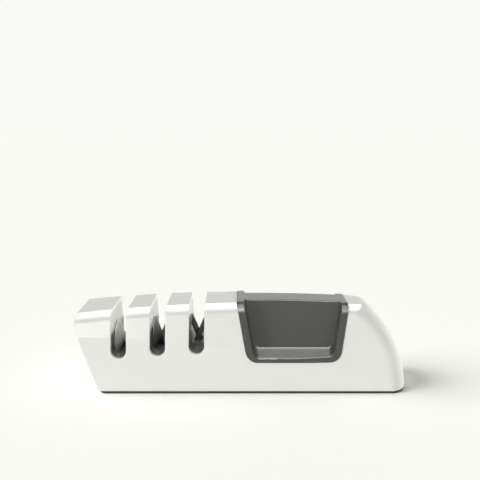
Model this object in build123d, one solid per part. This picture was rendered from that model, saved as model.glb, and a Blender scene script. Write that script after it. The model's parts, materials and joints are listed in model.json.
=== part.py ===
"""Manual three-stage knife sharpener, in millimetres.

A long gloss-white moulded housing stands on a dark non-slip pad. Three U-shaped slots run
across its left half, and a soft grey grip saddle straddles its right half. Each slot holds
one stage: white ceramic wheels, dark diamond wheels, then two crossed carbide blades.

+X runs along the housing towards its sloping nose, -Y is the long face seen from the front,
+Z is up. The origin is under the middle of the part, on the surface it stands on. Places
along the housing are given as distances from its left end, and depths as distances below
the roof.
"""

import os
from math import atan2, cos, radians, sin, sqrt, tan

from build123d import *

# Overall size and side outline of the housing
LENGTH = 234.4
WIDTH = 50.0
ROOF_HEIGHT = 61.7
ROOF_RADIUS = 1200.0
ROOF_CREST = 128.0
BULGE_HEIGHT = ROOF_HEIGHT - 11.7
BULGE_RADIUS = 20.0
BULGE_ARC_RISE = 0.5
KNEE_HEIGHT = ROOF_HEIGHT - 20.2
UNDERCUT_ANGLE = 20.9
FOOT_RADIUS = 6.0
NOSE_RADIUS = 70.0
NOSE_CENTRE_HEIGHT = ROOF_HEIGHT - 57.7

# Long faces: upright below a falling crease, leaning inwards above it
CREASE_HEIGHT = ROOF_HEIGHT - 21.7
CREASE_START = 7.2
CREASE_RADIUS = 650.0
LEAN_ANGLE = 10.0
CONE_SWEEP = 70.0
ROOF_EDGE_RADIUS = 8.0
NOSE_EDGE_RADIUS = 14.0
LEFT_EDGE_RADIUS = 1.0

# Walls and clearances
WALL = 2.4
SLOT_WALL = 1.8
PILLAR_RADIUS = 3.2
FIT = 0.15
RUNNING_FIT = 0.05

# Slots and the three stages, from the left end
STAGES = ("fine", "medium", "coarse")
SLOT_WIDTH = 10.8
SLOT_DEPTH = 33.1
SLOT_PITCH = 27.3
FIRST_SLOT = 31.2
LINER_DEPTH = 17.0
NOTCH_DEPTH = 23.2

# Wheels of the fine and medium stages
WHEEL_RADIUS = 12.3
NOTCH_RADIUS = 2.3
NOTCH_HALF_WIDTH = 4.7
WHEEL_THICKNESS = 5.15
WHEEL_GAP = 0.1
WHEEL_RIM_BEVEL = 0.15
AXLE_RADIUS = 1.0
WASHER_RADIUS = 2.6
WASHER_THICKNESS = 0.8
WHEEL_SIDE_CLEARANCE = 0.1
WELL_CLEARANCE = 0.6

# Carriers
CARTRIDGE_WALL = 1.8
RETAINER_THICKNESS = 1.8
EAR_THICKNESS = 2.4
EAR_TOP = ROOF_HEIGHT - 31.7
EAR_SIDE = 13.0

# Blades of the coarse stage
BLADE_ANGLE = 23.5
BLADE_WIDTH = 3.7
BLADE_THICKNESS = 3.0
BLADE_RISE = 10.5
BLADE_DROP = 15.0
HOLDER_FRONT = 8.0
HOLDER_BELOW_NOTCH = 7.5
CLAMP_THICKNESS = 2.4
HOLDER_HALF_WIDTH = 10.2
CLAMP_SCREW_OFFSET = 8.4
CLAMP_SCREW_LENGTH = 7.0
CLAMP_SCREW_RADIUS = 0.9
CLAMP_HEAD_RADIUS = 1.7
CLAMP_HEAD_HEIGHT = 1.2

# Grip saddle
GRIP_PLACE = 154.0
GRIP_FLOOR = ROOF_HEIGHT - 39.7
GRIP_BOTTOM_WIDTH = 64.4
GRIP_SIDE_ANGLE = 10.7
GRIP_CORNER_RADIUS = 8.5
GRIP_PROUD = 0.5
GRIP_RIB = 4.9
GRIP_SILL = 2.9
GRIP_SILL_RISE = 4.4
GRIP_BAR = 18.0
GRIP_BAR_FOOT = 34.0
GRIP_SKIN = 2.6
POCKET_WALL = 2.0
RECESS_CORNER_RADIUS = 5.0
RECESS_ROOT_RADIUS = 2.5
GRIP_RIM_RADIUS = 1.0
CORE_POCKET_WALL = 2.2
GRIP_SCREW_SIDE = 18.0

# Underside
MAT_THICKNESS = 1.8
MAT_INSET = 0.35
PLATE_THICKNESS = 3.0
PLATE_RIB = 1.6
PLATE_RIB_HEIGHT = 4.0
PLATE_RIB_SIDE = 7.0
BASE_POST_SIDE = 11.5
LEFT_POST_IN = 24.0
LEFT_POST_TOP = ROOF_HEIGHT - 45.7
NOSE_POST_IN = 32.0

# Screws
SCREW_RADIUS = 1.25
SCREW_HEAD_RADIUS = 2.6
SCREW_HEAD_HEIGHT = 1.8
SCREW_LENGTH = 9.0
DRIVE_RADIUS = 0.9
DRIVE_DEPTH = 0.9

# Working levels and margins, for cutting blocks and for picking edges out of a solid
FAR = 100.0
BELOW_FLOOR = -20.0
TOUCH = 0.001
NOSE_EDGE_MARGIN = 3.0
NOSE_RIM_REACH = 20.0
NOSE_EDGE_SIDE = 10.0
NOSE_EDGE_FALL = 23.4
ROOF_RIM_LEVEL = ROOF_HEIGHT - 20.85
NOSE_RIM_LEVEL = ROOF_HEIGHT - 11.7


def from_left(distance):
    """X of a place given as a distance from the housing's left end."""
    return distance - LENGTH / 2


def roof_at(distance):
    """Height of the roof over a place along the housing."""
    return ROOF_HEIGHT - ROOF_RADIUS + sqrt(ROOF_RADIUS**2 - (distance - ROOF_CREST) ** 2)


def slot_place(stage):
    """Distance of a stage's slot from the left end."""
    return FIRST_SLOT + SLOT_PITCH * STAGES.index(stage)


def slot_height(stage, depth):
    """Height of a level in a slot, given as a depth below the roof over that slot."""
    return roof_at(slot_place(stage)) - depth


def circles_meet(first, second, side):
    """Meeting point of two circles furthest to one side, +1 for the right and -1 for the left."""
    (x1, z1, r1), (x2, z2, r2) = first, second
    span = sqrt((x2 - x1) ** 2 + (z2 - z1) ** 2)
    along = (span**2 + r1**2 - r2**2) / (2 * span)
    aside = sqrt(r1**2 - along**2)
    ux, uz = (x2 - x1) / span, (z2 - z1) / span
    points = [
        (x1 + along * ux - sign * aside * uz, z1 + along * uz + sign * aside * ux) for sign in (1, -1)
    ]
    return max(points, key=lambda point: side * point[0])


def side_circles(inset):
    """Roof, nose and left-end circles as centre distance, height and radius."""
    roof = (ROOF_CREST, ROOF_HEIGHT - ROOF_RADIUS, ROOF_RADIUS - inset)
    nose = (LENGTH - NOSE_RADIUS, NOSE_CENTRE_HEIGHT, NOSE_RADIUS - inset)
    end = (BULGE_RADIUS, BULGE_HEIGHT, BULGE_RADIUS - inset)
    return roof, nose, end


def on_circle(circle, start, finish):
    """Point of a circle midway in angle between two of its points."""
    x, z, radius = circle
    angle = (atan2(start[1] - z, start[0] - x) + atan2(finish[1] - z, finish[0] - x)) / 2
    return x + radius * cos(angle), z + radius * sin(angle)


def side_outline(inset, floor, foot_radius=0.0):
    """Side view of the housing as a face, drawn in by an inset above a level floor."""
    roof, nose, end = side_circles(inset)
    undercut = radians(UNDERCUT_ANGLE)
    knee_in = BULGE_RADIUS - sqrt(BULGE_RADIUS**2 - (BULGE_HEIGHT - KNEE_HEIGHT) ** 2)
    line_x = knee_in + inset * cos(undercut)
    line_z = KNEE_HEIGHT + inset * sin(undercut)
    back_x, back_z = line_x - end[0], line_z - end[1]
    half = back_x * sin(undercut) - back_z * cos(undercut)
    reach = -half + sqrt(half**2 - back_x**2 - back_z**2 + end[2] ** 2)
    step = reach if abs(reach) < abs(-2 * half - reach) else -2 * half - reach
    knee = (line_x + step * sin(undercut), line_z - step * cos(undercut))
    foot = (line_x + (line_z - floor) * tan(undercut), floor)
    top_left = circles_meet(roof, end, -1)
    top_right = circles_meet(roof, nose, 1)
    nose_foot = (nose[0] + sqrt(nose[2] ** 2 - (floor - nose[1]) ** 2), floor)
    end_middle = (end[0] - sqrt(end[2] ** 2 - BULGE_ARC_RISE**2), end[1] + BULGE_ARC_RISE)
    points = [foot, knee, end_middle, top_left, (roof[0], roof[1] + roof[2]), top_right]
    points += [on_circle(nose, top_right, nose_foot), nose_foot]
    foot, knee, end_middle, top_left, crest, top_right, nose_middle, nose_foot = [
        (from_left(x), z) for x, z in points
    ]
    outline = make_face(
        [
            Line(foot, knee),
            ThreePointArc(knee, end_middle, top_left),
            ThreePointArc(top_left, crest, top_right),
            ThreePointArc(top_right, nose_middle, nose_foot),
            Line(nose_foot, foot),
        ]
    )
    if foot_radius:
        corner = outline.vertices().sort_by(lambda v: (v.X - foot[0]) ** 2 + (v.Y - foot[1]) ** 2)[0]
        outline = fillet(corner, foot_radius)
    return outline


def leaning_cone(inset):
    """Solid behind the leaning front face: part of a cone about a cross axis far below."""
    slope = tan(radians(LEAN_ANGLE))
    face = -WIDTH / 2 + inset / cos(radians(LEAN_ANGLE))
    front = face - WIDTH / 4
    back = WIDTH
    axis_x = from_left(CREASE_START)
    axis_z = CREASE_HEIGHT - CREASE_RADIUS
    front_radius = CREASE_RADIUS + (front - face) / slope
    back_radius = CREASE_RADIUS + (back - face) / slope
    core_radius = CREASE_RADIUS / 4
    corners = [(front, core_radius), (front, front_radius), (back, back_radius), (back, core_radius)]
    section = make_face([Line(corners[i], corners[i - 1]) for i in range(4)])
    section = Plane(origin=(axis_x, 0, axis_z), x_dir=(0, 1, 0), z_dir=(1, 0, 0)) * section
    axis = Axis((axis_x, 0, axis_z), (0, 1, 0))
    section = section.rotate(axis, -CONE_SWEEP / 2)
    return revolve(section, axis, CONE_SWEEP)


def nose_edges(solid):
    """The two long edges where the leaning faces meet the nose."""
    meet_x = from_left(circles_meet(*side_circles(0)[:2], 1)[0])
    edges = []
    for edge in solid.edges():
        box = edge.bounding_box()
        at_nose = box.min.X > meet_x - NOSE_EDGE_MARGIN and abs(edge.center().Y) > NOSE_EDGE_SIDE
        if at_nose and box.size.Z > NOSE_EDGE_FALL and box.max.Z > CREASE_HEIGHT:
            edges.append(edge)
    return edges


def roof_edges(solid):
    """The roof's rim along both leaning faces and round the nose."""
    meet_x = from_left(circles_meet(*side_circles(0)[:2], 1)[0])
    edges = []
    for edge in solid.edges():
        box = edge.bounding_box()
        centre = edge.center()
        along = box.size.X > LENGTH / 2 and centre.Z > ROOF_RIM_LEVEL
        across = box.min.X > meet_x - NOSE_RIM_REACH and box.min.Z > NOSE_RIM_LEVEL
        if along or across:
            edges.append(edge)
    return edges


def left_end_edges(solid):
    """Edges round the housing's left end, without those on the floor."""
    reach = from_left(FOOT_RADIUS + BULGE_RADIUS)
    return [
        edge
        for edge in solid.edges()
        if edge.bounding_box().max.X < reach and edge.bounding_box().max.Z > MAT_THICKNESS
    ]


def housing_form(inset, floor=BELOW_FLOOR, foot_radius=0.0, end_radius=0.0):
    """The housing's outer form drawn in by an inset, as one plain solid."""
    solid = extrude(Plane.XZ * side_outline(inset, floor, foot_radius), amount=WIDTH, both=True)
    solid = solid & leaning_cone(inset)
    solid = solid & mirror(leaning_cone(inset), Plane.XZ)
    solid = fillet(nose_edges(solid), NOSE_EDGE_RADIUS - inset)
    solid = fillet(roof_edges(solid), ROOF_EDGE_RADIUS - inset)
    if end_radius:
        solid = fillet(left_end_edges(solid), end_radius)
    slab = Box(2 * LENGTH, WIDTH - 2 * inset, 4 * ROOF_HEIGHT)
    return solid & slab


def above(solid, height):
    """The part of a solid over a level."""
    block = Box(2 * LENGTH, 2 * WIDTH, FAR).moved(Location((0, 0, height + FAR / 2)))
    return solid & block


def level_slab(solid, low, high):
    """The slice of a solid between two levels."""
    block = Box(2 * LENGTH, 2 * WIDTH, high - low).moved(Location((0, 0, (low + high) / 2)))
    return solid & block


def post(x, y, low, high, radius):
    """Upright cylinder between two levels."""
    return Cylinder(radius, high - low).moved(Location((x, y, (low + high) / 2)))


def rod(x, y, z, length, radius):
    """Cylinder along X, centred on a point."""
    return Cylinder(radius, length).rotate(Axis.Y, 90).moved(Location((x, y, z)))


def block(x_low, x_high, y_low, y_high, z_low, z_high):
    """Box given by its limits."""
    size = (x_high - x_low, y_high - y_low, z_high - z_low)
    middle = ((x_low + x_high) / 2, (y_low + y_high) / 2, (z_low + z_high) / 2)
    return Box(*size).moved(Location(middle))


def slot_prism(stage, grown, top):
    """U-shaped prism across the whole housing along a slot, grown all round."""
    x = from_left(slot_place(stage))
    half = SLOT_WIDTH / 2 + grown
    centre = slot_height(stage, SLOT_DEPTH) + SLOT_WIDTH / 2
    section = make_face(
        [
            Line((x - half, centre), (x - half, top)),
            Line((x - half, top), (x + half, top)),
            Line((x + half, top), (x + half, centre)),
            ThreePointArc((x + half, centre), (x, centre - half), (x - half, centre)),
        ]
    )
    return extrude(Plane.XZ * section, amount=WIDTH, both=True)


def grip_wedge(grown, floor, corner_radius, y_low, y_high):
    """Wedge-shaped prism of the grip in front view, over a floor, grown at its sides."""
    slope = tan(radians(GRIP_SIDE_ANGLE))
    middle = from_left(GRIP_PLACE)
    sideways = grown / cos(radians(GRIP_SIDE_ANGLE))

    def half(height):
        return GRIP_BOTTOM_WIDTH / 2 + (height - GRIP_FLOOR) * slope + sideways

    corners = [
        (middle - half(floor), floor),
        (middle + half(floor), floor),
        (middle + half(FAR), FAR),
        (middle - half(FAR), FAR),
    ]
    section = make_face([Line(corners[i - 1], corners[i]) for i in range(4)])
    section = fillet(section.vertices().sort_by(Axis.Y)[:2], corner_radius)
    prism = extrude(Plane.XZ * section, amount=WIDTH, both=True)
    return prism & block(-LENGTH, LENGTH, y_low, y_high, -FAR, 2 * FAR)


def screw(x, y, seat, length, radius=SCREW_RADIUS, head_radius=SCREW_HEAD_RADIUS, head=SCREW_HEAD_HEIGHT):
    """Pan-head screw driven upwards, its head under a seat level."""
    cap = post(x, y, seat - head, seat, head_radius)
    cap = fillet(cap.edges().group_by(Axis.Z)[0], head / 3)
    shank = post(x, y, seat, seat + length, radius)
    tip = shank.edges().group_by(Axis.Z)[-1]
    shank = chamfer(tip, radius / 2)
    for turn in (0, 90):
        arm = Box(2 * DRIVE_RADIUS * head_radius / SCREW_HEAD_RADIUS, radius / 2, DRIVE_DEPTH)
        cap -= arm.rotate(Axis.Z, turn).moved(Location((x, y, seat - head)))
    return cap + shank


def ear_places(stage):
    """X and Y of a carrier's two screw ears, half a pitch to each side of its slot."""
    x = from_left(slot_place(stage))
    return [(x - SLOT_PITCH / 2, -EAR_SIDE), (x + SLOT_PITCH / 2, EAR_SIDE)]


def base_screw_places():
    """X and Y of the six base screws: at the left end, beside the grip and in the nose."""
    left = from_left(LEFT_POST_IN)
    middle_in = slot_place(STAGES[-1]) + SLOT_PITCH / 2 + 2 * PILLAR_RADIUS + FIT
    nose = from_left(LENGTH - NOSE_POST_IN)
    return [(x, side * BASE_POST_SIDE) for x in (left, from_left(middle_in), nose) for side in (-1, 1)]


def grip_screw_places():
    """X and Y of the two screws under the grip."""
    middle = from_left(GRIP_PLACE)
    return [(middle - GRIP_SCREW_SIDE, 0), (middle + GRIP_SCREW_SIDE, 0)]


def make_body_shell():
    outer = housing_form(0, 0, FOOT_RADIUS, LEFT_EDGE_RADIUS)
    inner = housing_form(WALL)
    deck = GRIP_FLOOR - POCKET_WALL
    pocket_corner = GRIP_CORNER_RADIUS + POCKET_WALL
    inside = [grip_wedge(FIT + POCKET_WALL, deck, pocket_corner, -WIDTH, WIDTH)]
    for stage in STAGES:
        walls = slot_prism(stage, SLOT_WALL, FAR)
        inside.append(above(walls, slot_height(stage, LINER_DEPTH)))
        inside += [post(x, y, EAR_TOP, FAR, PILLAR_RADIUS) for x, y in ear_places(stage)]
    plate_top = MAT_THICKNESS + PLATE_THICKNESS
    for x, y in base_screw_places():
        if x < from_left(slot_place(STAGES[0])):
            inside.append(post(x, y, plate_top, LEFT_POST_TOP, PILLAR_RADIUS))
            inside.append(block(-LENGTH, x, y - WALL / 2, y + WALL / 2, plate_top, LEFT_POST_TOP))
        else:
            inside.append(post(x, y, plate_top, FAR, PILLAR_RADIUS))
    filling = housing_form(WALL / 2)
    shell = above(outer, MAT_THICKNESS) - inner
    for piece in inside:
        shell += piece & filling
    for stage in STAGES:
        shell -= slot_prism(stage, 0, FAR)
        for x, y in ear_places(stage):
            shell -= post(x, y, EAR_TOP, EAR_TOP + SCREW_LENGTH, SCREW_RADIUS)
    shell -= grip_wedge(FIT, GRIP_FLOOR, GRIP_CORNER_RADIUS, -WIDTH, WIDTH)
    for x, y in base_screw_places():
        shell -= post(x, y, plate_top, plate_top + SCREW_LENGTH, SCREW_RADIUS)
    for x, y in grip_screw_places():
        shell -= post(x, y, deck - FIT, GRIP_FLOOR, SCREW_RADIUS + FIT)
    return shell


def make_grip_core():
    """Rigid beam inside the grip's bar, hollowed from below between its screw bosses."""
    half = GRIP_BAR / 2 - GRIP_SKIN
    wedge = grip_wedge(-GRIP_SKIN, GRIP_FLOOR, GRIP_CORNER_RADIUS, -half, half)
    core = wedge & housing_form(GRIP_SKIN)
    middle = from_left(GRIP_PLACE)
    reach = GRIP_SCREW_SIDE - PILLAR_RADIUS - CORE_POCKET_WALL / 2
    ceiling = roof_at(GRIP_PLACE) - GRIP_SKIN - 2 * CORE_POCKET_WALL
    for side in (-1, 1):
        near = side * CORE_POCKET_WALL / 2
        far = side * reach
        core -= block(
            middle + min(near, far),
            middle + max(near, far),
            CORE_POCKET_WALL - half,
            half - CORE_POCKET_WALL,
            GRIP_FLOOR,
            ceiling,
        )
    for x, y in grip_screw_places():
        core -= post(x, y, GRIP_FLOOR, GRIP_FLOOR + SCREW_LENGTH, SCREW_RADIUS)
    return core


def on_faces(edge, faces):
    """Whether an edge's middle lies on one of some faces."""
    middle = Vertex(*(edge @ 0.5))
    return min(face.distance_to(middle) for face in faces) < TOUCH


def finger_recess(side):
    """Space in front of one finger panel: a leaning panel over a sill that slopes to the rim."""
    rim = GRIP_FLOOR + GRIP_SILL
    rise = GRIP_SILL_RISE / (WIDTH / 2 + GRIP_PROUD - GRIP_BAR_FOOT / 2)
    lean = (GRIP_BAR_FOOT - GRIP_BAR) / 2 / (roof_at(GRIP_PLACE) - rim - GRIP_SILL_RISE)
    foot = (side * GRIP_BAR_FOOT / 2, rim + GRIP_SILL_RISE)
    top = (foot[0] - side * lean * (FAR - foot[1]), FAR)
    out = (side * WIDTH, foot[1] - rise * (WIDTH - GRIP_BAR_FOOT / 2))
    outline = [out, foot, top, (side * WIDTH, FAR)]
    profile = make_face([Line(outline[i - 1], outline[i]) for i in range(4)])
    recess = extrude(Plane.YZ * profile, amount=LENGTH, both=True)
    recess = recess & grip_wedge(-GRIP_RIB, -FAR / 2, RECESS_CORNER_RADIUS, -WIDTH, WIDTH)
    sill = [edge for edge in recess.edges() if edge.center().Z < foot[1] - TOUCH and runs_across(edge)]
    recess = fillet(sill, RECESS_CORNER_RADIUS)
    panel = [edge for edge in recess.edges() if bounds_panel(edge, side, foot, lean)]
    return fillet(panel, RECESS_ROOT_RADIUS)


def runs_across(edge):
    """Whether an edge runs from the front of the part towards its back."""
    size = edge.bounding_box().size
    return size.Y > size.X and size.Y > TOUCH


def bounds_panel(edge, side, foot, lean):
    """Whether an edge lies in a finger panel's plane, below the part's working top."""
    ends = [edge @ 0, edge @ 0.5, edge @ 1]
    offs = [abs(side * p.Y - (side * foot[0] - lean * (p.Z - foot[1]))) for p in ends]
    return max(offs) < TOUCH and min(p.Z for p in ends) < FAR - WIDTH / 2


def make_grip_overmould(core_form):
    """Soft skin: a saddle proud of the housing with a finger recess on each long face."""
    wedge = grip_wedge(0, GRIP_FLOOR, GRIP_CORNER_RADIUS, -WIDTH, WIDTH)
    proud = housing_form(-GRIP_PROUD)
    grip = proud & wedge
    for side in (-1, 1):
        grip -= finger_recess(side)
    skin = proud.faces()
    sides = wedge.faces()
    sill_level = GRIP_FLOOR + GRIP_SILL + GRIP_SILL_RISE / 2
    rims = [
        edge
        for edge in grip.edges()
        if edge.bounding_box().min.Z > sill_level
        and on_faces(edge, skin)
        and not on_faces(edge, sides)
    ]
    grip = fillet(rims, GRIP_RIM_RADIUS)
    return grip - core_form


def axle_height(stage):
    """Height of a wheel pair's axle: the notch's lowest line lies one hub radius above it."""
    return slot_height(stage, NOTCH_DEPTH) - NOTCH_RADIUS


def well_bottom(stage):
    """Height of the open underside of a wheel well."""
    return axle_height(stage) - WHEEL_RADIUS - WELL_CLEARANCE


def make_cartridge(stage):
    """Dark carrier that lines a slot and hangs from two pillars."""
    x = from_left(slot_place(stage))
    outer_half = SLOT_WIDTH / 2 + CARTRIDGE_WALL
    liner = slot_prism(stage, CARTRIDGE_WALL, slot_height(stage, LINER_DEPTH))
    cartridge = liner & housing_form(WALL + FIT)
    for ear_x, ear_y in ear_places(stage):
        ear = post(ear_x, ear_y, EAR_TOP - EAR_THICKNESS, EAR_TOP, PILLAR_RADIUS)
        inner_x = x + (SLOT_WIDTH / 2 if ear_x > x else -SLOT_WIDTH / 2)
        arm = block(
            min(ear_x, inner_x),
            max(ear_x, inner_x),
            ear_y - PILLAR_RADIUS,
            ear_y + PILLAR_RADIUS,
            EAR_TOP - EAR_THICKNESS,
            EAR_TOP,
        )
        cartridge += ear + arm
        cartridge -= post(ear_x, ear_y, EAR_TOP - EAR_THICKNESS, EAR_TOP, SCREW_RADIUS + FIT)
    if stage == "coarse":
        return finish_coarse(cartridge, x)
    reach = WHEEL_RADIUS + WELL_CLEARANCE
    bottom = well_bottom(stage)
    centre = axle_height(stage)
    outer_reach = reach + CARTRIDGE_WALL
    cartridge += block(x - outer_half, x + outer_half, -outer_reach, outer_reach, bottom, centre)
    cartridge -= slot_prism(stage, 0, FAR)
    slot_half = SLOT_WIDTH / 2
    cartridge -= block(x - slot_half, x + slot_half, -reach, reach, bottom, centre + WHEEL_RADIUS)
    seat = WHEEL_THICKNESS + WHEEL_SIDE_CLEARANCE + WASHER_THICKNESS
    washer = WASHER_RADIUS + FIT
    cartridge -= rod(x, 0, centre, 2 * seat, washer)
    cartridge -= block(x - seat, x + seat, -washer, washer, bottom, centre)
    cartridge -= rod(x, 0, centre, 4 * outer_half, AXLE_RADIUS)
    cartridge -= block(x - 2 * slot_half, x + 2 * slot_half, -AXLE_RADIUS, AXLE_RADIUS, bottom, centre)
    return cartridge


def blade_outline(side):
    """One blade in front view: it leans outwards as it rises, its outer corner ground upright."""
    lean = tan(radians(BLADE_ANGLE))
    across = BLADE_WIDTH / cos(radians(BLADE_ANGLE))
    edge_x = SLOT_WIDTH / 2 - FIT
    x = from_left(slot_place("coarse"))
    z = slot_height("coarse", NOTCH_DEPTH)
    turn_rise = (edge_x - across) / lean
    points = [
        (-BLADE_DROP * lean, -BLADE_DROP),
        (BLADE_RISE * lean, BLADE_RISE),
        (edge_x, BLADE_RISE),
        (edge_x, turn_rise),
        (across - BLADE_DROP * lean, -BLADE_DROP),
    ]
    points = [(x + side * px, z + pz) for px, pz in points]
    return make_face([Line(points[i - 1], points[i]) for i in range(len(points))])


def blade_prism(side, y_low, y_high):
    """A blade's outline as a prism between two Y planes."""
    prism = extrude(Plane.XZ * blade_outline(side), amount=WIDTH, both=True)
    return prism & block(-LENGTH, LENGTH, y_low, y_high, -FAR, FAR)


def finish_coarse(cartridge, x):
    """Blade holder of the coarse carrier: a block through the slot's floor, open at the back."""
    holder_top = slot_height("coarse", NOTCH_DEPTH) - HOLDER_BELOW_NOTCH
    floor = slot_height("coarse", SLOT_DEPTH) - CARTRIDGE_WALL
    cartridge -= slot_prism("coarse", 0, FAR)
    back = BLADE_THICKNESS
    slot_half = SLOT_WIDTH / 2
    upper = block(x - slot_half, x + slot_half, -HOLDER_FRONT, back + CLAMP_THICKNESS, floor, holder_top)
    cartridge += upper & slot_prism("coarse", CARTRIDGE_WALL / 2, FAR)
    cartridge += block(
        x - HOLDER_HALF_WIDTH, x + HOLDER_HALF_WIDTH, -HOLDER_FRONT, back, holder_bottom(), floor + FIT
    )
    cartridge -= blade_prism(1, -BLADE_THICKNESS, back)
    cartridge -= blade_prism(-1, 0, back)
    hole_end = back + CLAMP_THICKNESS - CLAMP_SCREW_LENGTH
    for side in (-1, 1):
        cartridge -= clamp_screw_rod(x + side * CLAMP_SCREW_OFFSET, hole_end, back)
    return cartridge


def holder_bottom():
    """Underside of the blade holder."""
    return slot_height("coarse", NOTCH_DEPTH) - BLADE_DROP - CARTRIDGE_WALL


def clamp_screw_height():
    """Height of the clamp screws."""
    floor = slot_height("coarse", SLOT_DEPTH) - CARTRIDGE_WALL
    return (floor + holder_bottom()) / 2


def clamp_screw_rod(x, y_low, y_high, radius=CLAMP_SCREW_RADIUS):
    """Cylinder along Y at a clamp screw's height."""
    cylinder = Cylinder(radius, y_high - y_low).rotate(Axis.X, 90)
    return cylinder.moved(Location((x, (y_low + y_high) / 2, clamp_screw_height())))


def make_clamp():
    x = from_left(slot_place("coarse"))
    top = slot_height("coarse", SLOT_DEPTH) - CARTRIDGE_WALL
    back = BLADE_THICKNESS
    half = HOLDER_HALF_WIDTH
    clamp = block(x - half, x + half, back, back + CLAMP_THICKNESS, holder_bottom(), top)
    for side in (-1, 1):
        place = x + side * CLAMP_SCREW_OFFSET
        clamp -= clamp_screw_rod(place, back, back + CLAMP_THICKNESS, CLAMP_SCREW_RADIUS + FIT / 2)
    return clamp


def make_clamp_screws():
    x = from_left(slot_place("coarse"))
    seat = BLADE_THICKNESS + CLAMP_THICKNESS
    screws = []
    for side in (-1, 1):
        place = x + side * CLAMP_SCREW_OFFSET
        head = clamp_screw_rod(place, seat, seat + CLAMP_HEAD_HEIGHT, CLAMP_HEAD_RADIUS)
        shank = clamp_screw_rod(place, seat - CLAMP_SCREW_LENGTH, seat)
        drive = Box(2 * CLAMP_SCREW_RADIUS, CLAMP_HEAD_HEIGHT, CLAMP_SCREW_RADIUS / 2)
        drive = drive.moved(Location((place, seat + CLAMP_HEAD_HEIGHT, clamp_screw_height())))
        screws.append(head + shank - drive)
    return screws


def make_wheel(stage, side):
    """Conical half-wheel: its slanting face forms one flank of the notch."""
    bore = AXLE_RADIUS + RUNNING_FIT
    points = [
        (WHEEL_GAP / 2, bore),
        (WHEEL_GAP / 2, NOTCH_RADIUS),
        (NOTCH_HALF_WIDTH, WHEEL_RADIUS),
        (WHEEL_THICKNESS - WHEEL_RIM_BEVEL, WHEEL_RADIUS),
        (WHEEL_THICKNESS, WHEEL_RADIUS - WHEEL_RIM_BEVEL),
        (WHEEL_THICKNESS, bore),
    ]
    points = [(side * x, radius) for x, radius in points]
    section = make_face([Line(points[i - 1], points[i]) for i in range(len(points))])
    wheel = revolve(Plane.XZ * section, Axis.X)
    return wheel.moved(Location((from_left(slot_place(stage)), 0, axle_height(stage))))


def make_axle(stage):
    length = SLOT_WIDTH + 2 * CARTRIDGE_WALL
    return rod(from_left(slot_place(stage)), 0, axle_height(stage), length, AXLE_RADIUS)


def make_washers(stage):
    x = from_left(slot_place(stage))
    near = WHEEL_THICKNESS + WHEEL_SIDE_CLEARANCE
    washers = []
    for side in (-1, 1):
        place = x + side * (near + WASHER_THICKNESS / 2)
        ring = rod(place, 0, axle_height(stage), WASHER_THICKNESS, WASHER_RADIUS)
        washers.append(ring - rod(place, 0, axle_height(stage), WASHER_THICKNESS, AXLE_RADIUS + RUNNING_FIT))
    return washers


def make_retainer(stage):
    """Lid under a wheel well, with two fingers that hold the axle up."""
    x = from_left(slot_place(stage))
    half = SLOT_WIDTH / 2 + CARTRIDGE_WALL
    reach = WHEEL_RADIUS + WELL_CLEARANCE + CARTRIDGE_WALL
    bottom = well_bottom(stage)
    lid = block(x - half, x + half, -reach, reach, bottom - RETAINER_THICKNESS, bottom)
    inner = WHEEL_THICKNESS + WHEEL_SIDE_CLEARANCE + WASHER_THICKNESS
    for side in (-1, 1):
        ends = sorted((x + side * inner, x + side * half))
        finger = block(*ends, -AXLE_RADIUS, AXLE_RADIUS, bottom, axle_height(stage))
        lid += finger
    return lid - rod(x, 0, axle_height(stage), 2 * SLOT_WIDTH, AXLE_RADIUS)


def make_base_plate():
    top = MAT_THICKNESS + PLATE_THICKNESS
    plate = level_slab(housing_form(WALL + FIT), MAT_THICKNESS, top)
    seat = MAT_THICKNESS + SCREW_HEAD_HEIGHT
    for x, y in base_screw_places():
        plate -= post(x, y, MAT_THICKNESS, top, SCREW_RADIUS + FIT)
        plate -= post(x, y, MAT_THICKNESS, seat, SCREW_HEAD_RADIUS + FIT)
    ribs = level_slab(housing_form(WALL + FIT), top, top + PLATE_RIB_HEIGHT)
    for side in (-1, 1):
        y = side * PLATE_RIB_SIDE
        strip = block(-LENGTH, LENGTH, y - PLATE_RIB / 2, y + PLATE_RIB / 2, top, top + PLATE_RIB_HEIGHT)
        plate += ribs & strip
    return plate


def make_mat():
    mat = level_slab(housing_form(MAT_INSET, 0, FOOT_RADIUS), 0, MAT_THICKNESS)
    for x, y in base_screw_places():
        mat -= post(x, y, 0, MAT_THICKNESS, SCREW_HEAD_RADIUS + 2 * FIT)
    return mat


def save(name, solids):
    """Write one node's solid or solids."""
    shape = Compound(children=list(solids)) if isinstance(solids, list) else solids
    export_step(shape, "parts/" + name + ".step")


os.makedirs("parts", exist_ok=True)

core = make_grip_core()
core_form = grip_wedge(
    -GRIP_SKIN, GRIP_FLOOR, GRIP_CORNER_RADIUS, GRIP_SKIN - GRIP_BAR / 2, GRIP_BAR / 2 - GRIP_SKIN
) & housing_form(GRIP_SKIN)
deck_level = GRIP_FLOOR - POCKET_WALL
plate_seat = MAT_THICKNESS + SCREW_HEAD_HEIGHT
ear_seat = EAR_TOP - EAR_THICKNESS

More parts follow.
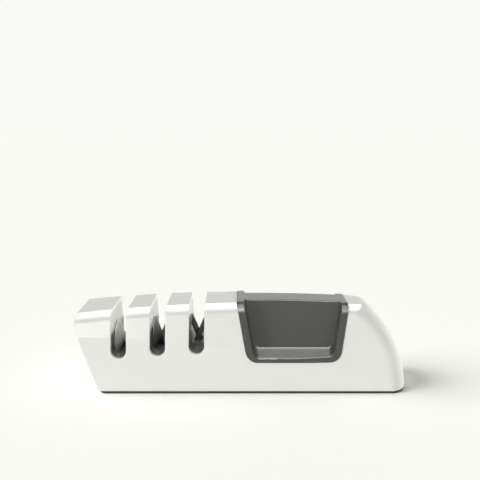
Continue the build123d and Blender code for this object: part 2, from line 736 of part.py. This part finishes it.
save("body_shell", make_body_shell())
save("base_plate", make_base_plate())
save("nonslip_mat", make_mat())
save("base_screws", [screw(x, y, plate_seat, SCREW_LENGTH) for x, y in base_screw_places()])
save("grip_core", core)
save("grip_overmould", make_grip_overmould(core_form))
save("grip_screws", [screw(x, y, deck_level, SCREW_LENGTH) for x, y in grip_screw_places()])
for stage_name in STAGES:
    save(stage_name + "_cartridge", make_cartridge(stage_name))
for stage_name in STAGES[:2]:
    save(stage_name + "_axle", make_axle(stage_name))
    save(stage_name + "_wheel_left", make_wheel(stage_name, -1))
    save(stage_name + "_wheel_right", make_wheel(stage_name, 1))
    save(stage_name + "_washers", make_washers(stage_name))
    save(stage_name + "_retainer", make_retainer(stage_name))
save("coarse_blade_front", blade_prism(1, -BLADE_THICKNESS, 0))
save("coarse_blade_rear", blade_prism(-1, 0, BLADE_THICKNESS))
save("coarse_clamp", make_clamp())
save("coarse_clamp_screws", make_clamp_screws())
ear_screws = [screw(x, y, ear_seat, SCREW_LENGTH) for stage in STAGES for x, y in ear_places(stage)]
save("cartridge_screws", ear_screws)
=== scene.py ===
"""Manual three-stage knife sharpener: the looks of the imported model, in Blender 4.5.

Lengths here are in millimetres and become metres through MM.
"""

import json
from math import pi, radians, tan

import bmesh
import bpy
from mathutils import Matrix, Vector


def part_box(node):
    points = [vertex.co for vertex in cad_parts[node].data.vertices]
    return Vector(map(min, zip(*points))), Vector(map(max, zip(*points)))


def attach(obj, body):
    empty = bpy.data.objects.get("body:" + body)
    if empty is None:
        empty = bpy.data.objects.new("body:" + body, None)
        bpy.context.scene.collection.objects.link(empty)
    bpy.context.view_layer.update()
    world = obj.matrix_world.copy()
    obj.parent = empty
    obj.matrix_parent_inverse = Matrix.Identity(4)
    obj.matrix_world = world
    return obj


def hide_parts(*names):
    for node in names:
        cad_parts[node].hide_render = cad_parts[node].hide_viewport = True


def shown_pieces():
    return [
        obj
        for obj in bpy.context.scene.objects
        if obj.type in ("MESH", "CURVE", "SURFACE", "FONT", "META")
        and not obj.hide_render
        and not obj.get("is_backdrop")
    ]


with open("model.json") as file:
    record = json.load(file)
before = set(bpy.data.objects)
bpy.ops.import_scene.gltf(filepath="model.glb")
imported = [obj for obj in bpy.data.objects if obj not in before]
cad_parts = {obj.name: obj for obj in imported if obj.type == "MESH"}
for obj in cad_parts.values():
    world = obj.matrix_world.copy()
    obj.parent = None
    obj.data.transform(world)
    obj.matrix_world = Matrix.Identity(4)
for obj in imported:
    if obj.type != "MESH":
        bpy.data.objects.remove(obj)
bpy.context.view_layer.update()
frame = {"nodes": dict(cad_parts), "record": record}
MM = 0.001

# Housing: one injection moulding in gloss white ABS, hollow and open underneath. The tool is
# polished, so the skin is smooth and glassy, with the faint waviness of a thick moulding. The
# rims of the slots are rounded so that a blade slides in without nicking the edge.
SLOT_RIM_RADIUS = 0.5
SEAT_RIM_RADIUS = 0.45
CREASE_LOWEST = 8.0
OUTER_FACE = 24.0
UPRIGHT_FACE = 24.98
GRIP_MIDDLE = 36.8
GRIP_FLOOR = 22.0
GRIP_FOOT_HALF = 32.35
GRIP_SIDE_SLOPE = tan(radians(10.7))
NEAR_SLOT = 0.35
NEAR_SEAT = 0.35
ABOVE_LINER = 0.1
DECK_HEIGHT = 1
DECK_INSET = 4
CREASE_LEAST = radians(6)
CREASE_MOST = radians(20)
SHARP_ANGLE = radians(50)
SMOOTH_ANGLE = radians(32)
FLAT_ANGLE = radians(0.4)
MERGE_DISTANCE = 0.002


def linear(hex_colour):
    """sRGB hex to a linear RGBA colour."""
    channels = [int(hex_colour[i : i + 2], 16) / 255 for i in (1, 3, 5)]
    return [c / 12.92 if c <= 0.04045 else ((c + 0.055) / 1.055) ** 2.4 for c in channels] + [1.0]


def surface(name, colour, roughness, ior=1.5, metallic=0.0):
    """A new material with its plain values set on the shader's own sockets."""
    made = bpy.data.materials.new(name)
    made.use_nodes = True
    shader = made.node_tree.nodes["Principled BSDF"]
    shader.inputs["Base Color"].default_value = linear(colour)
    shader.inputs["Roughness"].default_value = roughness
    shader.inputs["IOR"].default_value = ior
    shader.inputs["Metallic"].default_value = metallic
    return made


def add_node(owner, kind, settings=None, values=None, links=None):
    """One node with its settings, input values and links, each link as input: (node, output)."""
    tree = owner.node_tree
    node = tree.nodes.new(kind)
    for key, value in (settings or {}).items():
        setattr(node, key, value)
    for key, value in (values or {}).items():
        node.inputs[key].default_value = value
    for key, (source, output) in (links or {}).items():
        tree.links.new(source.outputs[output], node.inputs[key])
    return node


def feed(made, socket, source, output):
    """Link a node's output to the material's shader."""
    shader = made.node_tree.nodes["Principled BSDF"]
    made.node_tree.links.new(source.outputs[output], shader.inputs[socket])


def moulded_skin(made, grain, depth, detail=2.0):
    """Dents of a size and depth in millimetres all over a surface, from the noise it returns."""
    place = add_node(made, "ShaderNodeTexCoord")
    noise = add_node(
        made,
        "ShaderNodeTexNoise",
        values={"Scale": 1 / (grain * MM), "Detail": detail},
        links={"Vector": (place, "Object")},
    )
    dents = add_node(
        made,
        "ShaderNodeBump",
        values={"Strength": 1.0, "Distance": depth * MM},
        links={"Height": (noise, "Fac")},
    )
    feed(made, "Normal", dents, "Normal")
    return noise


def mottle(made, noise, dark, light):
    """Colour that wanders between two shades with a noise.

    The colour sockets of a Mix node are its inputs 6 and 7 and its output 2.
    """
    shades = add_node(
        made,
        "ShaderNodeMix",
        settings={"data_type": "RGBA"},
        values={6: linear(dark), 7: linear(light)},
        links={0: (noise, "Fac")},
    )
    feed(made, "Base Color", shades, 2)


def merged(node):
    """A bmesh copy of a CAD node with its loose triangles joined and its flat faces made whole."""
    mesh = bmesh.new()
    mesh.from_mesh(frame["nodes"][node].data)
    bmesh.ops.remove_doubles(mesh, verts=mesh.verts, dist=MERGE_DISTANCE * MM)
    bmesh.ops.dissolve_limit(mesh, angle_limit=FLAT_ANGLE, verts=mesh.verts, edges=mesh.edges)
    return mesh


def sharp_edges(mesh, wanted=None):
    """Edges sharper than SHARP_ANGLE whose middle, in millimetres, passes a test."""
    found = []
    for edge in mesh.edges:
        if len(edge.link_faces) == 2 and edge.calc_face_angle(0) > SHARP_ANGLE:
            middle = (edge.verts[0].co + edge.verts[1].co) / (2 * MM)
            if wanted is None or wanted(middle):
                found.append(edge)
    return found


def round_edges(mesh, edges, radius, segments, clamp=False):
    """Round some edges of a bmesh to a radius in millimetres."""
    bmesh.ops.bevel(
        mesh,
        geom=edges,
        offset=radius * MM,
        offset_type="OFFSET",
        segments=segments,
        profile=0.5,
        affect="EDGES",
        material=-1,
        clamp_overlap=clamp,
        loop_slide=False,
    )


def finished(name, mesh, material, body, replaced):
    """Turn a bmesh into a smooth-shaded piece that rides on a body and stands for CAD nodes."""
    for edge in mesh.edges:
        if edge.calc_face_angle(0) > SMOOTH_ANGLE:
            edge.smooth = False
    for face in mesh.faces:
        face.smooth = True
        face.material_index = 0
    data = bpy.data.meshes.new(name)
    mesh.to_mesh(data)
    mesh.free()
    data.materials.clear()
    data.materials.append(material)
    piece = bpy.data.objects.new(name, data)
    bpy.context.scene.collection.objects.link(piece)
    weighted = piece.modifiers.new("even shading", "WEIGHTED_NORMAL")
    weighted.keep_sharp = True
    weighted.weight = 50
    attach(piece, body)
    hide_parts(*replaced)
    return piece


opening = {entry["name"]: entry["box_m"] for entry in frame["record"]["physics"]["openings"]}
slot_middle = {}
slot_half = {}
for stage in ("fine", "medium", "coarse"):
    low, high = opening[stage + "_slot"]
    slot_middle[stage] = (low[0] + high[0]) / (2 * MM)
    slot_half[stage] = (high[0] - low[0]) / (2 * MM) + NEAR_SLOT
liner_top = {stage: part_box(stage + "_cartridge")[1].z / MM for stage in slot_middle}


def on_slot_rim(point):
    """Whether a sharp edge's middle lies on a rim between a slot and the housing's skin."""
    for name, middle in slot_middle.items():
        if abs(point.x - middle) < slot_half[name]:
            if point.z > liner_top[name] + ABOVE_LINER:
                return True
            if abs(point.y) > OUTER_FACE:
                return True
    return False


def in_grip_seat(point, margin=NEAR_SEAT):
    """Whether a point lies in the wedge that the grip fills, a margin wider all round."""
    half = GRIP_FOOT_HALF + (point.z - GRIP_FLOOR) * GRIP_SIDE_SLOPE + margin
    return abs(point.x - GRIP_MIDDLE) < half and point.z > GRIP_FLOOR - margin


def on_seat_rim(point):
    """Whether a sharp edge's middle lies on the rim of the grip's seat, and not on a screw hole."""
    near_floor = point.z < GRIP_FLOOR + DECK_HEIGHT
    on_deck = near_floor and abs(point.y) < OUTER_FACE - DECK_INSET
    return in_grip_seat(point) and not on_deck


def crease_edges(mesh):
    """The long shallow crease between the upright and the leaning part of each long face."""
    found = []
    for edge in mesh.edges:
        middle = (edge.verts[0].co + edge.verts[1].co) / (2 * MM)
        on_face = min(abs(vert.co.y) for vert in edge.verts) > UPRIGHT_FACE * MM
        if on_face and len(edge.link_faces) == 2 and middle.z > CREASE_LOWEST:
            if CREASE_LEAST < edge.calc_face_angle(0) < CREASE_MOST:
                found.append(edge)
    return found


gloss_abs = surface("gloss_white_abs", "#E9E9E6", roughness=0.09, ior=1.53)
moulded_skin(gloss_abs, grain=14.0, depth=0.004, detail=1.0)
housing_mesh = merged("body_shell")
slot_rims = sharp_edges(housing_mesh, on_slot_rim)
round_edges(housing_mesh, slot_rims, SLOT_RIM_RADIUS, segments=4)
seat_rims = sharp_edges(housing_mesh, on_seat_rim)
round_edges(housing_mesh, seat_rims, SEAT_RIM_RADIUS, segments=2)
for edge in crease_edges(housing_mesh):
    edge.smooth = False
finished("housing", housing_mesh, gloss_abs, "housing", ["body_shell"])

# Base plate: a flat moulding in matt ABS with two long ribs, screwed up into the housing's
# posts. Its edges are only broken, as they come from the tool.
PLATE_EDGE = 0.2
matt_abs = surface("matt_grey_abs", "#C4C4C1", roughness=0.5, ior=1.53)
moulded_skin(matt_abs, grain=0.6, depth=0.02)
plate_mesh = merged("base_plate")
round_edges(plate_mesh, sharp_edges(plate_mesh), PLATE_EDGE, segments=1, clamp=True)
finished("plate", plate_mesh, matt_abs, "housing", ["base_plate"])

# Non-slip pad: a thin sheet of dark silicone rubber glued under the base plate, moulded with
# fine ribs across it so that it grips a worktop. A wave texture of scale 1 has ten bands in pi
# metres, which gives its scale from the ribs' pitch.
PAD_EDGE = 0.35
RIB_PITCH = 1.6
RIB_HEIGHT = 0.15
pad_rubber = surface("ribbed_silicone_rubber", "#343533", roughness=0.6, ior=1.45)
pad_place = add_node(pad_rubber, "ShaderNodeTexCoord")
ribs = add_node(
    pad_rubber,
    "ShaderNodeTexWave",
    settings={"bands_direction": "X", "wave_profile": "SIN"},
    values={"Scale": pi / (10 * RIB_PITCH * MM)},
    links={"Vector": (pad_place, "Object")},
)
rib_dents = add_node(
    pad_rubber,
    "ShaderNodeBump",
    values={"Strength": 0.6, "Distance": RIB_HEIGHT * MM},
    links={"Height": (ribs, "Fac")},
)
feed(pad_rubber, "Normal", rib_dents, "Normal")
pad_mesh = merged("nonslip_mat")
round_edges(pad_mesh, sharp_edges(pad_mesh), PAD_EDGE, segments=2, clamp=True)
finished("pad", pad_mesh, pad_rubber, "housing", ["nonslip_mat"])

# Grip core: a rigid box in glass-filled nylon that the soft skin is moulded over. It fills the
# gap in the roof and takes the two screws from below.
CORE_EDGE = 0.25
core_nylon = surface("black_glass_filled_nylon", "#3B3B3A", roughness=0.42, ior=1.53)
core_noise = moulded_skin(core_nylon, grain=0.5, depth=0.02)
mottle(core_nylon, core_noise, "#373736", "#40403F")
core_mesh = merged("grip_core")
round_edges(core_mesh, sharp_edges(core_mesh), CORE_EDGE, segments=1, clamp=True)
finished("core", core_mesh, core_nylon, "housing", ["grip_core"])

# Grip skin: thermoplastic rubber moulded over the core, dark warm grey. Its tool is
# spark-eroded, so the skin is satin with a fine grain that softens the highlights. The grain is
# drawn about three times as coarse as it is, so that it shows.
SILL_LEVEL = GRIP_FLOOR + 2.9
SILL_RISE = 2.4
SILL_EDGE_DEPTH = 1
SILL_EDGE_RADIUS = 1.3
OUTLINE_RADIUS = 0.35
OUTLINE_PROUD = 0.2
OUTLINE_WIDTH = 0.8
HOUSING_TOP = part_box("body_shell")[1].z / MM
ROOF_DEPTH = 2
RIB_WIDTH = 4.9
GRIP_GRAIN = 0.5


def on_sill_edge(point):
    """Whether a sharp edge's middle lies on the front edge of a finger recess's sill."""
    between_ribs = in_grip_seat(point, -RIB_WIDTH / 2)
    on_sill = point.z < SILL_LEVEL + SILL_RISE
    return between_ribs and on_sill and abs(point.y) > OUTER_FACE - SILL_EDGE_DEPTH


def on_grip_outline(point):
    """Whether a sharp edge's middle lies on the outline where the skin meets the housing."""
    on_roof = point.z > HOUSING_TOP - ROOF_DEPTH
    proud = on_roof or abs(point.y) > OUTER_FACE + OUTLINE_PROUD
    return proud and not in_grip_seat(point, -OUTLINE_WIDTH)


grip_rubber = surface("spark_eroded_grey_tpe", "#4A4A47", roughness=0.34, ior=1.5)
grip_noise = moulded_skin(grip_rubber, GRIP_GRAIN, depth=0.012, detail=3.0)
mottle(grip_rubber, grip_noise, "#424240", "#4A4A47")
grip_mesh = merged("grip_overmould")
sill_edges = sharp_edges(grip_mesh, on_sill_edge)
round_edges(grip_mesh, sill_edges, SILL_EDGE_RADIUS, segments=4)
outline_edges = sharp_edges(grip_mesh, on_grip_outline)
round_edges(grip_mesh, outline_edges, OUTLINE_RADIUS, segments=2, clamp=True)
grip = finished("grip", grip_mesh, grip_rubber, "housing", ["grip_overmould"])

# Carriers: three mouldings in satin dark nylon that line the slots and hang from pillars inside
# the housing. The wells of two hold the wheels, and the third is a block for the blades.
CARRIER_EDGE = 0.3
carrier_nylon = surface("satin_grey_nylon", "#636361", roughness=0.3, ior=1.53)
carrier_noise = moulded_skin(carrier_nylon, grain=0.8, depth=0.01)
mottle(carrier_nylon, carrier_noise, "#5E5E5C", "#696967")
carriers = []
for stage in slot_middle:
    node = stage + "_cartridge"
    carrier_mesh = merged(node)
    round_edges(carrier_mesh, sharp_edges(carrier_mesh), CARRIER_EDGE, segments=2, clamp=True)
    carrier = finished(stage + "_carrier", carrier_mesh, carrier_nylon, "housing", [node])
    carriers.append(carrier)

# Retainers: lids in the same nylon, snapped under the wheel wells, with two fingers that hold
# the axle up.
RETAINER_EDGE = 0.15
for stage in ("fine", "medium"):
    node = stage + "_retainer"
    lid_mesh = merged(node)
    round_edges(lid_mesh, sharp_edges(lid_mesh), RETAINER_EDGE, segments=1, clamp=True)
    finished(stage + "_lid", lid_mesh, carrier_nylon, "housing", [node])

# Wheels: two conical half-wheels in each stage, whose slanting faces make the notch. The fine
# pair is pressed and fired alumina, the medium pair steel plated with nickel that holds diamond
# grit. The grit is drawn about four times as coarse as it is, and the alumina's grain about ten
# times, so that they show.
WHEEL_GAP = 0.1
HUB_RADIUS = 2.3
FLANK_HALF_WIDTH = 4.7
WHEEL_THICKNESS = 5.15
WHEEL_RADIUS = 12.3
BORE_RADIUS = 1.05
RIM_BREAK = 0.15
WHEEL_STEPS = 128
ALUMINA_GRAIN = 0.25
DIAMOND_GRIT = 0.2
alumina = surface("fired_fine_alumina", "#DEDDD7", roughness=0.5, ior=1.76)
alumina_noise = moulded_skin(alumina, ALUMINA_GRAIN, depth=0.015, detail=4.0)
mottle(alumina, alumina_noise, "#D6D5CF", "#E4E3DE")
diamond = surface("diamond_plated_nickel", "#858583", roughness=0.45, metallic=0.3)
diamond_noise = moulded_skin(diamond, DIAMOND_GRIT, depth=0.03, detail=4.0)
mottle(diamond, diamond_noise, "#6B6B69", "#9C9C99")


def turned(outline, centre, steps):
    """A solid turned about X from a closed outline of (x, radius) points in millimetres."""
    mesh = bmesh.new()
    ring = [mesh.verts.new((x * MM, 0, radius * MM)) for x, radius in outline]
    for i in range(len(ring)):
        mesh.edges.new((ring[i - 1], ring[i]))
    bmesh.ops.spin(
        mesh,
        geom=mesh.verts[:] + mesh.edges[:],
        cent=(0, 0, 0),
        axis=(1, 0, 0),
        angle=2 * pi,
        steps=steps,
        use_merge=True,
        use_duplicate=False,
    )
    bmesh.ops.remove_doubles(mesh, verts=mesh.verts, dist=MERGE_DISTANCE * MM)
    bmesh.ops.recalc_face_normals(mesh, faces=mesh.faces)
    bmesh.ops.translate(mesh, verts=mesh.verts, vec=centre)
    return mesh


def hub_centre(stage):
    """The middle of a stage's axle."""
    low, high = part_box(stage + "_axle")
    return (low + high) / 2


for stage, grit, slot in (("fine", alumina, "ceramic_wheel"), ("medium", diamond, "diamond_wheel")):
    for side, word in ((-1, "left"), (1, "right")):
        outline = [
            (WHEEL_GAP / 2, BORE_RADIUS),
            (WHEEL_GAP / 2, HUB_RADIUS),
            (FLANK_HALF_WIDTH - RIM_BREAK, WHEEL_RADIUS - 2 * RIM_BREAK),
            (FLANK_HALF_WIDTH, WHEEL_RADIUS - RIM_BREAK / 2),
            (FLANK_HALF_WIDTH + RIM_BREAK, WHEEL_RADIUS),
            (WHEEL_THICKNESS - RIM_BREAK, WHEEL_RADIUS),
            (WHEEL_THICKNESS, WHEEL_RADIUS - RIM_BREAK),
            (WHEEL_THICKNESS, BORE_RADIUS),
        ]
        wheel_mesh = turned([(side * x, r) for x, r in outline], hub_centre(stage), WHEEL_STEPS)
        node = stage + "_wheel_" + word
        finished(node + "_stone", wheel_mesh, grit, stage + "_" + word + "_wheel", [node])

# Axles and washers: ground steel pins pressed into the carriers, and natural acetal washers
# that keep the wheels off the walls of their wells.
PIN_EDGE = 0.15
ROUND_STEPS = 48
ground_steel = surface("ground_steel", "#A8A8A8", roughness=0.25, metallic=1.0)
moulded_skin(ground_steel, grain=0.3, depth=0.002)
acetal = surface("natural_acetal", "#D8D6CC", roughness=0.4, ior=1.48)
moulded_skin(acetal, grain=0.6, depth=0.01)
for stage in ("fine", "medium"):
    low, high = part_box(stage + "_axle")
    half = (high.x - low.x) / (2 * MM)
    radius = (high.z - low.z) / (2 * MM)
    outline = [
        (-half, 0),
        (-half, radius - PIN_EDGE),
        (-half + PIN_EDGE, radius),
        (half - PIN_EDGE, radius),
        (half, radius - PIN_EDGE),
        (half, 0),
    ]
    pin_mesh = turned(outline, hub_centre(stage), ROUND_STEPS)
    finished(stage + "_pin", pin_mesh, ground_steel, "housing", [stage + "_axle"])
    node = stage + "_washers"
    finished(stage + "_spacers", merged(node), acetal, "housing", [node])

# Blades: two bars of ground tungsten carbide, crossed in a V and clamped in the third carrier.
# Grinding leaves fine lines along them, drawn about five times as coarse as they are, and the
# edges catch the light.
BLADE_EDGE = 0.2
LAY_PITCH = 0.35
LAY_STRETCH = 12
LAY_DEPTH = 0.008
carbide = surface("ground_tungsten_carbide", "#4C4C4E", roughness=0.32, metallic=0.5)
lay_place = add_node(carbide, "ShaderNodeTexCoord")
lay_squeeze = add_node(
    carbide,
    "ShaderNodeMapping",
    values={"Scale": (1, LAY_STRETCH, LAY_STRETCH)},
    links={"Vector": (lay_place, "Object")},
)
lay = add_node(
    carbide,
    "ShaderNodeTexNoise",
    values={"Scale": 1 / (LAY_STRETCH * LAY_PITCH * MM), "Detail": 3.0},
    links={"Vector": (lay_squeeze, "Vector")},
)
lay_dents = add_node(
    carbide,
    "ShaderNodeBump",
    values={"Strength": 1.0, "Distance": LAY_DEPTH * MM},
    links={"Height": (lay, "Fac")},
)
feed(carbide, "Normal", lay_dents, "Normal")
for place in ("front", "rear"):
    node = "coarse_blade_" + place
    blade_mesh = merged(node)
    round_edges(blade_mesh, sharp_edges(blade_mesh), BLADE_EDGE, segments=2, clamp=True)
    finished("carbide_bar_" + place, blade_mesh, carbide, "housing", [node])

# Clamp and screws: a steel plate over the blades, and zinc-plated pan-head screws that hold the
# clamp, the carriers, the grip and the base plate.
CLAMP_EDGE = 0.2
clamp_mesh = merged("coarse_clamp")
round_edges(clamp_mesh, sharp_edges(clamp_mesh), CLAMP_EDGE, segments=1, clamp=True)
finished("blade_clamp", clamp_mesh, ground_steel, "housing", ["coarse_clamp"])
zinc_steel = surface("zinc_plated_steel", "#B4B4B0", roughness=0.32, metallic=1.0)
zinc_noise = moulded_skin(zinc_steel, grain=0.4, depth=0.004)
mottle(zinc_steel, zinc_noise, "#A6A7A6", "#BFC0BB")
for node in ("base_screws", "grip_screws", "cartridge_screws", "coarse_clamp_screws"):
    finished(node + "_zinc", merged(node), zinc_steel, "housing", [node])

# Studio: a pale paper floor, lit evenly, that runs out to a horizon of the same shade. The sky
# darkens overhead, and behind the camera too, above a pale strip along the horizon.
FLOOR_SIZE = 40000
PALE = "#F8F9F4"
PAPER_GLOW = 0.19
floor_mesh = bmesh.new()
bmesh.ops.create_grid(floor_mesh, x_segments=1, y_segments=1, size=FLOOR_SIZE / 2 * MM)
floor_data = bpy.data.meshes.new("floor")
floor_mesh.to_mesh(floor_data)
floor_mesh.free()
floor = bpy.data.objects.new("floor", floor_data)
bpy.context.scene.collection.objects.link(floor)
paper = surface("lit_paper", "#E4E5E0", roughness=1.0)
paper_shader = paper.node_tree.nodes["Principled BSDF"]
paper_shader.inputs["Specular IOR Level"].default_value = 0
paper_shader.inputs["Emission Color"].default_value = linear(PALE)
paper_shader.inputs["Emission Strength"].default_value = PAPER_GLOW
floor_data.materials.append(paper)
floor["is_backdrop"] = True

world = bpy.data.worlds.new("studio")
bpy.context.scene.world = world
world.use_nodes = True
backdrop = world.node_tree.nodes["Background"]
backdrop.inputs["Color"].default_value = linear(PALE)
direction = add_node(world, "ShaderNodeTexCoord")
split = add_node(world, "ShaderNodeSeparateXYZ", links={"Vector": (direction, "Generated")})
overhead = add_node(
    world,
    "ShaderNodeMapRange",
    settings={"interpolation_type": "SMOOTHSTEP"},
    values={"From Min": 0.3, "From Max": 0.55, "To Min": 1.0, "To Max": 0.3},
    links={"Value": (split, "Z")},
)
behind_camera = add_node(
    world,
    "ShaderNodeMapRange",
    settings={"interpolation_type": "SMOOTHSTEP"},
    values={"From Min": -0.3, "From Max": 0.2, "To Min": 0.15, "To Max": 1.0},
    links={"Value": (split, "Y")},
)
near_horizon = add_node(
    world,
    "ShaderNodeMapRange",
    settings={"interpolation_type": "SMOOTHSTEP"},
    values={"From Min": 0.12, "From Max": 0.24, "To Min": 1.0, "To Max": 0.0},
    links={"Value": (split, "Z")},
)
lighter = add_node(
    world,
    "ShaderNodeMath",
    settings={"operation": "MAXIMUM"},
    links={0: (behind_camera, "Result"), 1: (near_horizon, "Result")},
)
dimmed = add_node(
    world,
    "ShaderNodeMath",
    settings={"operation": "MULTIPLY"},
    links={0: (overhead, "Result"), 1: (lighter, "Value")},
)
world.node_tree.links.new(dimmed.outputs["Value"], backdrop.inputs["Strength"])

# Lamps: a soft key from above on the right, a low one behind on the right, a fill in front on
# the left, and a weak one that reaches the carriers in the slots. The floor has its own soft
# lamp, whose shadow falls to the right.
def group(name, members):
    """A collection for a lamp to shine on."""
    made = bpy.data.collections.new(name)
    for member in members:
        made.objects.link(member)
    return made


def sun(name, energy, towards, spread, shone_on):
    """A distant lamp that shines along a direction on some objects."""
    light = bpy.data.lights.new(name, "SUN")
    light.energy = energy
    light.angle = radians(spread)
    holder = bpy.data.objects.new(name, light)
    bpy.context.scene.collection.objects.link(holder)
    holder.rotation_euler = Vector(towards).to_track_quat("-Z", "Y").to_euler()
    holder.light_linking.receiver_collection = shone_on
    return holder


every_piece = group("every_piece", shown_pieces())
grip_alone = group("grip_alone", [grip])
all_but_grip = group("all_but_grip", [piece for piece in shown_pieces() if piece is not grip])
carriers_alone = group("carriers_alone", carriers)
floor_alone = group("floor_alone", [floor])
sun("floor_key", energy=3.85, towards=(0.80, 0.05, -0.60), spread=45, shone_on=floor_alone)
sun("key", energy=1.0, towards=(-0.50, 0.20, -0.84), spread=25, shone_on=every_piece)
rim = sun("rim", energy=1.7, towards=(-0.88, -0.42, -0.20), spread=12, shone_on=every_piece)
rim.visible_glossy = False
fill = sun("fill", energy=2.75, towards=(0.86, 0.51, -0.05), spread=25, shone_on=every_piece)
fill.visible_glossy = False
sun("slot_fill", energy=1.0, towards=(0.10, 0.75, -0.65), spread=30, shone_on=carriers_alone)

# Softboxes: glowing sheets of cloth, brightest in the middle, that only show as reflections. One
# hangs overhead for the bright line along the roof's edge, three light the soft grip alone, and
# one stands low in front on the left for the leaning face.
def softbox(name, strength, place, towards, size, soft_edge, shone_on):
    """A glowing sheet, sizes in millimetres, that fades out over its soft edge.

    Its grid starts one metre wide, and is scaled to the sheet.
    """
    sheet_mesh = bmesh.new()
    bmesh.ops.create_grid(sheet_mesh, x_segments=1, y_segments=1, size=0.5)
    bmesh.ops.scale(sheet_mesh, vec=(size[0] * MM, size[1] * MM, 1), verts=sheet_mesh.verts)
    sheet_data = bpy.data.meshes.new(name)
    sheet_mesh.to_mesh(sheet_data)
    sheet_mesh.free()
    cloth = bpy.data.materials.new("lit_" + name)
    cloth.use_nodes = True
    cloth.node_tree.nodes.clear()
    spot = add_node(cloth, "ShaderNodeTexCoord")
    axes = add_node(cloth, "ShaderNodeSeparateXYZ", links={"Vector": (spot, "Object")})
    fades = []
    for axis, span, soft in (("X", size[0], soft_edge[0]), ("Y", size[1], soft_edge[1])):
        reach = add_node(
            cloth, "ShaderNodeMath", settings={"operation": "ABSOLUTE"}, links={0: (axes, axis)}
        )
        fades.append(
            add_node(
                cloth,
                "ShaderNodeMapRange",
                settings={"interpolation_type": "SMOOTHSTEP"},
                values={
                    "From Min": (span / 2 - soft) * MM,
                    "From Max": span / 2 * MM,
                    "To Min": 1.0,
                    "To Max": 0.0,
                },
                links={"Value": (reach, "Value")},
            )
        )
    both = add_node(
        cloth,
        "ShaderNodeMath",
        settings={"operation": "MULTIPLY"},
        links={0: (fades[0], "Result"), 1: (fades[1], "Result")},
    )
    level = add_node(
        cloth,
        "ShaderNodeMath",
        settings={"operation": "MULTIPLY"},
        values={1: strength},
        links={0: (both, "Value")},
    )
    glow = add_node(cloth, "ShaderNodeEmission", links={"Strength": (level, "Value")})
    gauze = add_node(cloth, "ShaderNodeBsdfTransparent")
    lit_gauze = add_node(
        cloth, "ShaderNodeAddShader", links={0: (glow, "Emission"), 1: (gauze, "BSDF")}
    )
    add_node(cloth, "ShaderNodeOutputMaterial", links={"Surface": (lit_gauze, "Shader")})
    sheet_data.materials.append(cloth)
    sheet = bpy.data.objects.new(name, sheet_data)
    bpy.context.scene.collection.objects.link(sheet)
    sheet.location = Vector(place) * MM
    sheet.rotation_euler = Vector(towards).to_track_quat("Z", "Y").to_euler()
    sheet.visible_camera = False
    sheet.visible_diffuse = False
    sheet.visible_shadow = False
    sheet.light_linking.receiver_collection = shone_on
    sheet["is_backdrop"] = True


softbox(
    "roof_line",
    strength=8.6,
    place=(0, 245, 1200),
    towards=(0, 0, -1),
    size=(1900, 3300),
    soft_edge=(250, 1000),
    shone_on=all_but_grip,
)
softbox(
    "grip_edge",
    strength=30.0,
    place=(80, -1000, 1000),
    towards=(0, 0.7, -0.7),
    size=(1100, 500),
    soft_edge=(300, 150),
    shone_on=grip_alone,
)
softbox(
    "grip_line",
    strength=6.5,
    place=(80, -250, 1210),
    towards=(0, 0, -1),
    size=(1100, 1300),
    soft_edge=(300, 300),
    shone_on=grip_alone,
)
softbox(
    "grip_back",
    strength=1.2,
    place=(0, 1500, 600),
    towards=(0, -1, 0),
    size=(2600, 700),
    soft_edge=(200, 200),
    shone_on=grip_alone,
)
softbox(
    "left_face",
    strength=5.5,
    place=(-380, -560, 60),
    towards=(0, 1, 0),
    size=(800, 118),
    soft_edge=(450, 20),
    shone_on=all_but_grip,
)

# Camera: level enough to keep the slots upright, raised above the object.
CAMERA_PLACE = (-1.0, -424.8, 184.7)
CAMERA_PITCH = 3.0
FOCAL_PIXELS = 584.3
SHIFT_PIXELS = -80
IMAGE_SIZE = 480
SENSOR_WIDTH = 36
lens = bpy.data.cameras.new("camera")
lens.sensor_width = SENSOR_WIDTH
lens.lens = FOCAL_PIXELS / IMAGE_SIZE * SENSOR_WIDTH
lens.shift_y = SHIFT_PIXELS / IMAGE_SIZE
lens.clip_start = 0.01
lens.clip_end = 100
camera = bpy.data.objects.new("camera", lens)
camera.location = Vector(CAMERA_PLACE) * MM
camera.rotation_euler = (radians(90 - CAMERA_PITCH), 0, 0)
bpy.context.scene.collection.objects.link(camera)
bpy.context.scene.camera = camera
bpy.context.scene.view_settings.view_transform = "Standard"

bpy.context.view_layer.update()
